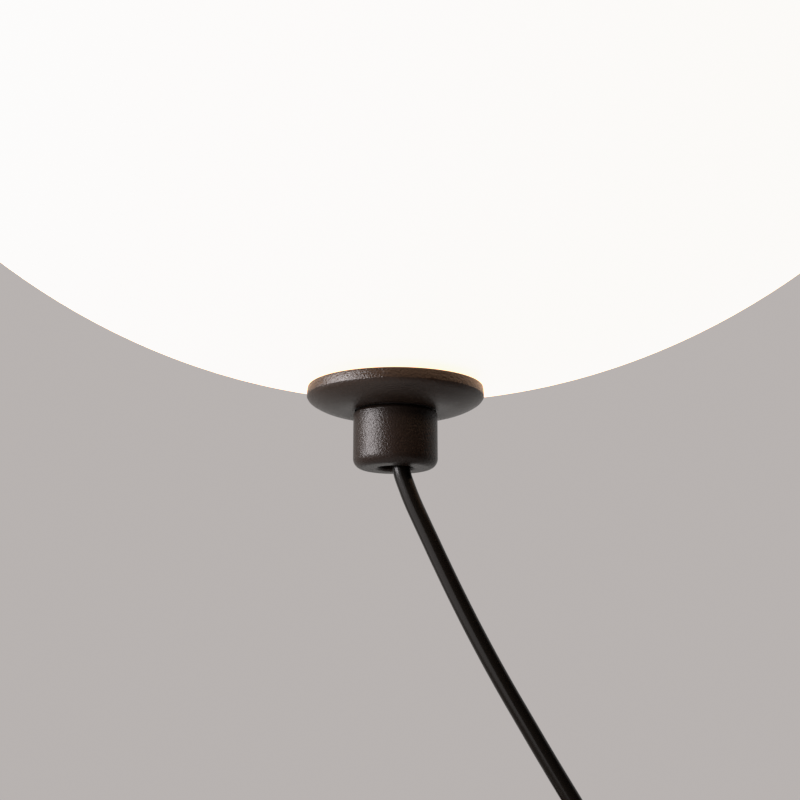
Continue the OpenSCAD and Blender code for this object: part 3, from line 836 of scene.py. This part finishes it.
@dataclass
class SupplyCord:
    """The black flex from the lower fitting to the plug.

    Attributes:
        coil_at: x of the coil's middle, and its height above the boss's free end.
        route: the way from inside the boss to the coil, in the same measures.
    """

    length: float = 2.0
    diameter: float = 5.3 * MM
    coil_at: Pair = (0.038, -0.141)
    sleeve_lap: float = 4.0 * MM
    tail_step: float = 12.0 * MM
    route: Pairs = (
        (0.0, 0.014), (0.0002, 0.0105), (0.0005, 0.008), (0.0011, 0.005), (0.0017, 0.0025),
        (0.0022, 0.0), (0.0027, -0.002), (0.0038, -0.005), (0.0056, -0.0095), (0.0084, -0.0155),
        (0.0113, -0.0215), (0.0142, -0.0275), (0.0202, -0.0395), (0.0263, -0.051), (0.0328, -0.0625),
        (0.0394, -0.0735), (0.0461, -0.0845), (0.053, -0.0955), (0.0596, -0.1058))

    def points(self, exit_z: float) -> np.ndarray:
        """Joins the free stretch, the coil and the straight end.

        Args:
            exit_z: height of the boss's free end.

        Returns:
            Points along the centreline, from inside the fitting to inside the plug's sleeve.
        """
        free = np.array([(x, 0.0, exit_z + z) for x, z in self.route])
        centre = np.array([self.coil_at[0], 0.0, exit_z + self.coil_at[1]])
        coil = CordCoil(centre, self.diameter).path()
        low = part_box("plug_sleeve")[1].z - self.sleeve_lap
        count = round((coil[-1, 2] - low) / self.tail_step)
        end = np.repeat(coil[-1:], count, axis=0)
        end[:, 2] = np.linspace(coil[-1, 2], low, count + 1)[1:]
        return np.vstack([free, coil, end])

    def build(self, with_pieces: Sequence[Object]) -> None:
        """Args:
            with_pieces: the tie, the switch and the plug; not used.
        """
        exit_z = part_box("clamp_nut")[0].z
        points = self.points(exit_z)
        curve = bpy.data.curves.new("supply_cord", "CURVE")
        curve.dimensions = "3D"
        curve.bevel_depth = self.diameter / 2
        curve.bevel_resolution = 6
        curve.resolution_u = 5
        curve.use_fill_caps = True
        line = curve.splines.new("BEZIER")
        line.bezier_points.add(len(points) - 1)
        line.bezier_points.foreach_set("co", points.ravel())
        for point in line.bezier_points:
            point.handle_left_type = "AUTO"
            point.handle_right_type = "AUTO"
        cord = settle(show("supply_cord", curve), CORD_PVC,
                      ["cord_drop", "cord_coil", "cord_tail", "cord_end"])


@dataclass
class CordTie:
    """A touch-fastener strap round all the turns at one place, with its free end laid over it.

    Attributes:
        soft_share: rounding of the strap's edges, as a share of its thickness.
        tip: share of the half ellipse at the free end that is drawn before it is cut off flat.
    """

    strap: float = 1.2 * MM
    soft_share: float = 0.35
    corner: float = 4.2 * MM
    round_end: float = 4.0 * MM
    tip: float = 0.95

    def section(self, half_width: float) -> np.ndarray:
        """The strap's section: its thickness and its width, with soft corners."""
        ends = ((0, -half_width), (self.strap, -half_width), (self.strap, half_width), (0, half_width))
        return rounded([(*end, self.soft_share * self.strap) for end in ends], steps=3)

    def free_end(self, loop: np.ndarray, half_width: float) -> np.ndarray:
        """Carries the section from the side of the loop to the middle of its front.

        The last stations narrow as a half ellipse does: width * sqrt(1 - (way past its start / length)
        ** 2).

        Args:
            loop: the strap's outer line, from the middle of its +X side.
            half_width: half the strap's width.

        Returns:
            A grid of points, one row for each station.
        """
        line = np.vstack([loop[3 * LOOP_POINTS // 4:], loop[:1]])[::-1]
        along = np.gradient(line, axis=0)
        out = np.column_stack([-along[:, 1], along[:, 0]]) / np.linalg.norm(along, axis=1)[:, None]
        way = walked(line)
        past = np.clip((way - way[-1]) / self.round_end + 1, 0, self.tip)
        width = np.sqrt(1 - past ** 2)
        section = self.section(half_width)
        flat = line[:, None, :] + out[:, None, :] * section[None, :, :1]
        return np.concatenate([flat, (width[:, None] * section[None, :, 1])[..., None]], axis=-1)

    def build(self) -> Object:
        """Makes the strap as a closed band with soft edges, and its free end.

        Returns:
            The strap.
        """
        middle, half = extent("cord_tie")
        rows = []
        for inset, height in self.section(half.z):
            loop = box_outline(half.x - inset, half.y - inset, self.corner - inset)
            rows.append(np.insert(loop, 2, height, axis=1))
        end = self.free_end(box_outline(half.x, half.y, self.corner), half.z)
        grids = [(np.stack(rows) + np.array(middle), True), (end + np.array(middle), False)]
        return add_piece("coil_tie", grids, TIE_NYLON, ["cord_tie"])


@dataclass
class CordSwitch:
    """In-line switch: two moulded shells, two screws and a rocker.

    Attributes:
        window_lip: steps of the window's edge: how far each stands out, and how deep it lies.
        dish_shares: loops inside the key's front, as shares of its edge.
        head_shape: steps of a screw's head: share of its radius, and height.
    """

    wall: float = 2.0 * MM
    edge: float = 3.0 * MM
    edge_rows: int = 8
    seam: float = 0.35 * MM
    window_half: Pair = (5.2 * MM, 9.92 * MM)
    window_corner: float = 1.0 * MM
    window_lip: Pairs = ((0.5 * MM, 0.0), (0.15 * MM, 0.1 * MM), (0.0, 0.5 * MM))
    rocker_half: Pair = (5.0 * MM, 9.0 * MM)
    rocker_front: float = 6.5 * MM
    rocker_back: float = 2.0 * MM
    rocker_edge: float = 0.8 * MM
    rocker_edge_angles: tuple[float, float, int] = (0.2, pi / 2, 6)
    rocker_tilt: float = radians(6)
    least_corner: float = 0.02 * MM
    dish: float = 0.9 * MM
    dish_shares: tuple[float, ...] = (0.85, 0.7, 0.55, 0.4, 0.25, 0.1, 0.02)
    screw_inset: float = 10.0 * MM
    screw_segments: int = 40
    sink_r: float = 2.5 * MM
    sink_deep: float = 3.0 * MM
    head_r: float = 2.3 * MM
    head_shape: Pairs = (
        (1.0, 0.0), (1.0, 1.4 * MM), (0.93, 1.8 * MM), (0.72, 2.0 * MM), (0.35, 2.05 * MM))
    slot_half: Pair = (3.0 * MM, 0.35 * MM)
    slot_floor: float = 1.3 * MM

    def __post_init__(self) -> None:
        """Reads the switch's middle and its half sizes from the frame."""
        middle, half = extent("switch_front")
        self.half_x, self.half_z, self.depth = half.x, half.z, 2 * half.y
        self.seam_at = np.array((middle.x, middle.y + half.y, middle.z))

    def level(self, outline: np.ndarray, y: float) -> np.ndarray:
        """Puts an outline round the switch's middle, at a depth from the seam."""
        return self.seam_at + np.insert(outline, 1, y, axis=1)

    def slab(self, inset: float, y: float) -> np.ndarray:
        """One loop of the switch's own outline, drawn in by an inset, at a depth from the seam."""
        half_x = self.half_x - inset
        return self.level(box_outline(half_x, self.half_z - inset, half_x), y)

    def side_rows(self, way: float) -> list[np.ndarray]:
        """Loops from the seam, up the side and round the outer edge, which is a quarter circle.

        Args:
            way: -1 towards the front, 1 towards the back.

        Returns:
            The loops, in order.
        """
        rows = [self.slab(self.seam, 0.0), self.slab(0.0, way * self.seam)]
        for angle in np.linspace(0, pi / 2, self.edge_rows):
            rise = self.depth - self.edge * (1 - sin(angle))
            rows.append(self.slab(self.edge * (1 - cos(angle)), way * rise))
        return rows

    def front(self) -> Object:
        """Makes the front shell: side, edge, face, window and the inner wall back to the seam.

        Returns:
            The shell.
        """
        half_x, half_z = self.window_half
        rows = self.side_rows(-1.0)
        for grow, deep in (*self.window_lip, (0.0, self.wall)):
            lip = box_outline(half_x + grow, half_z + grow, self.window_corner + grow)
            rows.append(self.level(lip, deep - self.depth))
        rows += [self.slab(self.wall, self.wall - self.depth), self.slab(self.wall, 0.0)]
        grids = [(np.stack(rows), True)]
        return add_piece("switch_shell_front", grids, MOULDED_ABS, ["switch_front"])

    def back(self) -> Object:
        """Makes the back shell, closed, with two screw holes cut into it.

        Returns:
            The shell.
        """
        rows = [*self.side_rows(1.0)[::-1], self.slab(self.wall, 0.0),
                self.slab(self.wall, self.depth - self.wall)]
        grids = [(np.stack(rows), False)]
        shell = add_piece("switch_shell_back", grids, MOULDED_ABS, ["switch_back"])
        sink = self.sink_r * circle(self.screw_segments)
        depths = (self.depth - self.sink_deep, self.depth + self.wall)
        holes = [(self.bar([sink, sink], depths, side), False) for side in SIDES]
        cut_out(shell, add_piece("screw_hole_cutter", holes, MOULDED_ABS))
        shell.modifiers.new("even_faces", "WEIGHTED_NORMAL").keep_sharp = True
        return shell

    def bar(self, outlines: Sequence[np.ndarray], depths: Sequence[float], side: float) -> np.ndarray:
        """Carries an outline along Y, on the axis of one of the two screws.

        Args:
            outlines: x and z of each point round the axis, for each row.
            depths: each row's depth from the seam.
            side: 1 for the upper screw, -1 for the lower one.

        Returns:
            A grid of points.
        """
        axis = np.array((0.0, side * (self.half_z - self.screw_inset)))
        return np.stack([self.level(axis + outline, y) for outline, y in zip(outlines, depths)])

    def screws(self) -> Object:
        """Makes two pan-head screws, sunk in the back shell, each with a straight slot across its head.

        Returns:
            The pair.
        """
        face = self.depth - self.sink_deep
        ring = self.head_r * circle(self.screw_segments)
        rings = [share * ring for share, _ in self.head_shape]
        rises = [face + rise for _, rise in self.head_shape]
        slot = np.array([(-1, -1), (1, -1), (1, 1), (-1, 1)]) * self.slot_half
        slot_depths = (face + self.slot_floor, face + self.sink_deep)
        heads = [(self.bar(rings, rises, side), False) for side in SIDES]
        slots = [(self.bar([slot, slot], slot_depths, side), False) for side in SIDES]
        screws = add_piece("switch_screw_pair", heads, ZINC_PLATE, ["switch_screws"])
        cut_out(screws, add_piece("screw_slot_cutter", slots, ZINC_PLATE))
        return screws

    def dip(self, loop: np.ndarray) -> np.ndarray:
        """Depth of the key's dish at each point of a loop."""
        return self.dish * (1 - (loop[:, 1] / self.rocker_half[1]) ** 2)

    def rocker(self) -> Object:
        """Makes the rocker: a rounded key with a dished front, tilted to its rest position.

        The dish is a cylinder's arc along the key: depth = dish * (1 - (z / half length) ** 2).

        Returns:
            The key.
        """
        half_x, half_z = self.rocker_half
        soft = self.rocker_edge
        shoulder = soft - self.rocker_front
        side = box_outline(half_x, half_z, soft)
        rows = [np.insert(side, 1, y, axis=1) for y in (self.rocker_back, shoulder)]
        for angle in np.linspace(*self.rocker_edge_angles):
            inset = soft * (1 - cos(angle))
            loop = box_outline(half_x - inset, half_z - inset, max(soft - inset, self.least_corner))
            y = shoulder - soft * sin(angle) + self.dip(loop) * inset / soft
            rows.append(np.insert(loop, 1, y, axis=1))
        for share in self.dish_shares:
            y = self.dip(loop * share) - self.rocker_front
            rows.append(np.insert(loop * share, 1, y, axis=1))
        turn = np.array(Matrix.Rotation(self.rocker_tilt, 3, "X"))
        pivot = np.array(next(j["pos_m"] for j in frame["joints"] if j["name"] == "rocker_tilt"))
        grids = [(np.stack(rows) @ turn.T + pivot, False)]
        return add_piece("switch_key", grids, MOULDED_ABS, ["switch_rocker"], "rocker")

    def build(self) -> list[Object]:
        """Makes the four pieces of the switch, which go with the cord."""
        return [self.front(), self.back(), self.screws(), self.rocker()]


@dataclass
class MainsPlug:
    """Moulded two-pin plug with its tapered, grooved sleeve.

    Attributes:
        corner_share: rounding of the body's sections, as a share of their half thickness.
        ring_span: where the sleeve has grooves, as shares of its length.
        ring_crisp: how steep the grooves' sides are, 1 for a plain wave.
        tip_share: rounding of a pin's tip, as a share of its radius.
    """

    neck_half: float = 8.1 * MM
    neck_thick: float = 5.6 * MM
    shoulder: float = 10.0 * MM
    corner_share: float = 0.72
    face_edge: float = 1.2 * MM
    face_rows: int = 6
    body_rows: int = 46
    grip_ribs: int = 5
    grip_deep: float = 0.35 * MM
    rib_from: float = 3.0 * MM
    sleeve_rings: int = 5
    sleeve_rows: int = 90
    sleeve_wall: float = 1.0 * MM
    ring_deep: float = 0.7 * MM
    ring_span: Pair = (0.08, 0.94)
    ring_crisp: float = 2.2
    bore_gap: float = 0.1 * MM
    bore_deep: float = 3.0 * MM
    bare_len: float = 9.0 * MM
    shank_step: float = 0.25 * MM
    step_edge: float = 0.2 * MM
    tip_share: float = 0.98
    pin_root: float = 1.0 * MM

    def body(self) -> Object:
        """Makes the plug's body.

        Rounded sections narrow, eased, from the shoulder to the neck. The face's edge is a quarter
        circle, and the grip ribs are a sine's square along the height.

        Returns:
            The body.
        """
        middle, half = extent("plug_body")
        tall = 2 * half.z
        edge = self.face_edge * (1 - np.cos(np.linspace(0, pi / 2, self.face_rows)))
        up = np.concatenate([edge, np.linspace(self.face_edge, tall, self.body_rows)[1:]])
        ease = eased(np.clip((up - tall) / self.shoulder + 1, 0, 1))
        inset = self.face_edge * (1 - np.sqrt(1 - np.clip(1 - up / self.face_edge, 0, 1) ** 2))
        span = np.clip((up - self.rib_from) / (tall - self.shoulder - self.rib_from), 0, 1)
        ribs = self.grip_deep * np.sin(pi * self.grip_ribs * span) ** 2
        half_x = half.x + (self.neck_half - half.x) * ease - inset
        half_y = half.y + (self.neck_thick - half.y) * ease - inset - ribs
        rows = []
        for across, thick, height in zip(half_x, half_y, up - half.z):
            loop = box_outline(across, thick, self.corner_share * thick)
            rows.append(np.insert(loop, 2, height, axis=1) + np.array(middle))
        return add_piece("plug_moulding", [(np.stack(rows), False)], MOULDED_ABS, ["plug_body"])

    def sleeve(self) -> Object:
        """Makes the strain relief: a taper with round grooves cut into it.

        Returns:
            The sleeve.
        """
        low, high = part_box("plug_sleeve")
        middle, half = extent("plug_sleeve")
        cord_r = SupplyCord.diameter / 2
        bore_r, floor = cord_r + self.bore_gap, high.z - self.bore_deep
        share = np.linspace(0, 1, self.sleeve_rows)
        wave = np.sin(2 * pi * self.sleeve_rings * share - pi / 2)
        grooved = (share > self.ring_span[0]) & (share < self.ring_span[1])
        groove = self.ring_deep * (np.clip(wave * self.ring_crisp, -1, 1) + 1) / 2 * grooved
        radius = half.x + (cord_r + self.sleeve_wall - half.x) * share - groove
        section = np.vstack([
            [(0.0, low.z)], np.column_stack([radius, low.z + (high.z - low.z) * share]),
            [(bore_r, high.z), (bore_r, floor), (0.0, floor)]])
        shape = turned(section, segments=64, axis=(middle.x, middle.y))
        return add_piece("plug_strain_relief", [(shape, False)], CORD_PVC, ["plug_sleeve"])

    def pins(self) -> Object:
        """Makes two round pins: insulated shanks, bare nickel tips with round ends.

        Returns:
            The pair.
        """
        middle, half = extent("plug_pins")
        tip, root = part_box("plug_pins")[0].z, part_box("plug_body")[0].z + self.pin_root
        radius = half.y
        shank, bare_to = radius - self.shank_step, tip + self.bare_len
        section = rounded([
            (0, tip, 0), (radius, tip, self.tip_share * radius), (radius, bare_to, self.step_edge),
            (shank, bare_to, 0), (shank, root, 0), (0, root, 0)], steps=8)
        axes = [(middle.x - side * (half.x - radius), middle.y) for side in SIDES]
        grids = [(turned(section, segments=40, axis=axis), False) for axis in axes]
        pins = add_piece("plug_pin_pair", grids, NICKEL_PLATE, ["plug_pins"])
        pins.data.materials.append(MOULDED_ABS.material())
        heights = np.array([face.center.z for face in pins.data.polygons])
        pins.data.polygons.foreach_set("material_index", (heights > bare_to).astype(np.int32))
        return pins

    def build(self) -> list[Object]:
        """Makes the three pieces of the plug, which go with the cord."""
        return [self.body(), self.sleeve(), self.pins()]


# The studio


@dataclass(frozen=True)
class SoftBox:
    """A soft light with a flat face.

    Attributes:
        place: the middle of its face.
        radiance: brightness of the face; the backdrop's is below 0.5.
        aim: the point that it faces, the lamp's foot.
    """

    name: str
    place: Triple
    size: Pair
    radiance: float
    colour: str
    aim: Triple = (0.0, 0.0, -0.61)

    def build(self) -> None:
        """Makes the light, which the camera doesn't see."""
        data = bpy.data.lights.new(self.name, "AREA")
        data.shape = "RECTANGLE"
        data.size, data.size_y = self.size
        data.energy = self.radiance * pi * self.size[0] * self.size[1]
        data.color = linear(self.colour)[:3]
        light = show(self.name, data)
        light.location = self.place
        way = Vector(self.aim) - Vector(self.place)
        light.rotation_euler = way.to_track_quat("-Z", "Y").to_euler()
        light.visible_camera = False


@dataclass
class Studio:
    """Camera at the photograph's place, soft light from the left, a pale floor and a plain backdrop.

    Attributes:
        wall_span: where the room's light rises, as the sine of the angle beyond the lamp.
        floor_fade: where the floor fades into the backdrop, as shares of its radius.
        white: radiance at which the tone curve ends; it shows as white_shown.
        roll_off: radiance, and the brightness at which it shows.
    """

    lens_mm: float = 54.0
    sensor_mm: float = 36.0
    eye: Triple = (0.001469, -0.360152, -0.688167)
    pitch: float = radians(12.662)
    roll: float = radians(1.0225)
    backdrop: str = "#b8b3b1"
    backdrop_r: float = 14.0
    backdrop_grid: tuple[int, int] = (33, 64)
    floor_z: float = -2.6
    floor_r: float = 4.0
    floor_grid: tuple[int, int] = (24, 96)
    floor_hub: float = 0.02
    floor_fade: Pair = (0.4, 0.98)
    floor_colour: str = "#bab5b1"
    floor_accent: str = "#c5c0bc"
    wall_light: float = 0.48
    room_light: float = 0.06
    wall_span: Pair = (-0.1, 0.5)
    room_tint: tuple[float, float, float, float] = (1.0, 0.96, 0.93, 1.0)
    white: float = 2.6
    white_shown: float = 0.974
    roll_off: Pairs = (
        (0.15, 0.15), (0.3, 0.3), (0.5, 0.5), (0.6, 0.62), (0.72, 0.8), (0.85, 0.912), (1.0, 0.937),
        (1.4, 0.954), (2.0, 0.965))
    lights: tuple[SoftBox, ...] = (
        SoftBox("key", (-1.81, -0.63, -0.27), (1.4, 0.9), 31.0, "#fffafc"),
        SoftBox("low_panel", (-1.3, -0.75, -1.05), (2.7, 1.0), 2.1, "#fffafa"),
        SoftBox("floor_panel", (0.0, -0.1, -2.55), (3.0, 3.0), 0.42, "#fff4ee"))

    def camera(self) -> None:
        """Makes the camera: it looks up by the pitch, and is turned by the roll about its own axis."""
        data = bpy.data.cameras.new("camera")
        data.lens = self.lens_mm
        data.sensor_width = self.sensor_mm
        data.clip_start = 0.01
        data.clip_end = 100.0
        camera = show("camera", data)
        level = Matrix.Translation(self.eye) @ Matrix.Rotation(pi / 2 + self.pitch, 4, "X")
        camera.matrix_world = level @ Matrix.Rotation(self.roll, 4, "Z")
        bpy.context.scene.camera = camera

    def world(self) -> None:
        """Sets the room's light: a bright wall beyond the lamp, dim towards the camera's side."""
        world = bpy.data.worlds.new("room")
        tree = blank_tree(world)
        way = add_node(tree, "ShaderNodeTexCoord").outputs["Generated"]
        beyond = add_node(tree, "ShaderNodeSeparateXYZ", None, {0: way}).outputs["Y"]
        level = add_node(tree, "ShaderNodeMapRange",
                         {"From Min": self.wall_span[0], "From Max": self.wall_span[1],
                          "To Min": self.room_light, "To Max": self.wall_light},
                         {"Value": beyond}, interpolation_type="SMOOTHSTEP")
        shade = add_node(tree, "ShaderNodeBackground", {"Color": self.room_tint},
                         {"Strength": level.outputs[0]})
        add_node(tree, "ShaderNodeOutputWorld", None, {"Surface": shade.outputs[0]})
        bpy.context.scene.world = world

    def screen(self) -> None:
        """Makes the plain backdrop, a wide dome that only the camera sees."""
        rows, columns = self.backdrop_grid
        latitude = np.linspace(-pi / 2, pi / 2, rows)
        section = self.backdrop_r * np.column_stack([np.cos(latitude), np.sin(latitude)])
        paper = bpy.data.materials.new("grey_backdrop_paper")
        tree = blank_tree(paper)
        glow = add_node(tree, "ShaderNodeEmission", {"Color": linear(self.backdrop), "Strength": 1.0})
        add_node(tree, "ShaderNodeOutputMaterial", None, {"Surface": glow.outputs[0]})
        mesh = bpy.data.meshes.new("backdrop")
        points = turned(section, columns).reshape(-1, 3)
        mesh.from_pydata(points.tolist(), [], grid_faces(rows, columns, False).tolist())
        mesh.materials.append(paper)
        dome = show("backdrop", mesh)
        for ray in ("diffuse", "glossy", "transmission", "volume_scatter", "shadow"):
            setattr(dome, f"visible_{ray}", False)

    def floor(self) -> None:
        """Makes the pale floor, a disc that fades into the backdrop towards its edge."""
        rows, columns = self.floor_grid
        rings = np.linspace(self.floor_hub, 1, rows) * self.floor_r
        points = turned(np.column_stack([rings, np.full(rows, self.floor_z)]), columns).reshape(-1, 3)
        faces = grid_faces(rows, columns, False).tolist() + [list(range(columns))]
        mesh = bpy.data.meshes.new("floor")
        mesh.from_pydata(points.tolist(), [], faces)
        plaster = bpy.data.materials.new("pale_floor_screed")
        tree = blank_tree(plaster)
        place = add_node(tree, "ShaderNodeTexCoord").outputs["Object"]
        flat = add_node(tree, "ShaderNodeMapping", {"Scale": (1.0, 1.0, 0.0)}, {"Vector": place})
        away = add_node(tree, "ShaderNodeVectorMath", None, {0: flat.outputs[0]}, operation="LENGTH")
        fade_from, fade_to = (share * self.floor_r for share in self.floor_fade)
        fade = add_node(tree, "ShaderNodeMapRange",
                        {"From Min": fade_from, "From Max": fade_to, "To Min": 1.0, "To Max": 0.0},
                        {"Value": away.outputs["Value"]}, interpolation_type="SMOOTHSTEP")
        noise = add_node(tree, "ShaderNodeTexNoise", {"Scale": 6.0, "Detail": 6.0}, {"Vector": place})
        colour = add_node(tree, "ShaderNodeMix",
                          {MIX_LOW: linear(self.floor_colour), MIX_HIGH: linear(self.floor_accent)},
                          {0: noise.outputs["Fac"]}, data_type="RGBA")
        surface = add_node(tree, "ShaderNodeBsdfPrincipled", {"Roughness": 0.8},
                           {"Base Color": colour.outputs[MIX_COLOUR], "Alpha": fade.outputs[0]})
        add_node(tree, "ShaderNodeOutputMaterial", None, {"Surface": surface.outputs[0]})
        mesh.materials.append(plaster)
        show("floor", mesh)

    def tone(self) -> None:
        """Sets a tone curve that is straight up to the backdrop and rolls off towards the lit globe."""
        view = bpy.context.scene.view_settings
        view.view_transform = "Standard"
        view.look = "None"
        view.use_curve_mapping = True
        mapping = view.curve_mapping
        mapping.white_level = (self.white, self.white, self.white)
        mapping.extend = "HORIZONTAL"
        points = mapping.curves[ALL_COLOURS].points
        points[1].location = (1.0, self.white_shown)
        for radiance, shown in self.roll_off:
            points.new(radiance / self.white, shown)
        mapping.update()

    def build(self) -> None:
        """Sets the whole studio, apart from the camera."""
        self.tone()
        self.world()
        self.screen()
        self.floor()
        for light in self.lights:
            light.build()


def main() -> None:
    """Builds the lamp and its studio, camera and cord first."""
    logging.basicConfig(level=logging.INFO)
    studio = Studio()
    studio.camera()
    on_cord = [CordTie().build(), *CordSwitch().build(), *MainsPlug().build()]
    SupplyCord().build(on_cord)
    Globe().build()
    EndFitting("bottom_flange", "clamp_nut", "nut", up=False, lean=radians(1.02)).build()
    EndFitting("top_cap", "top_boss", "globe", up=True).build()
    Hanger().build()
    LightEngine().build()
    studio.build()


if __name__ == "__main__":
    main()
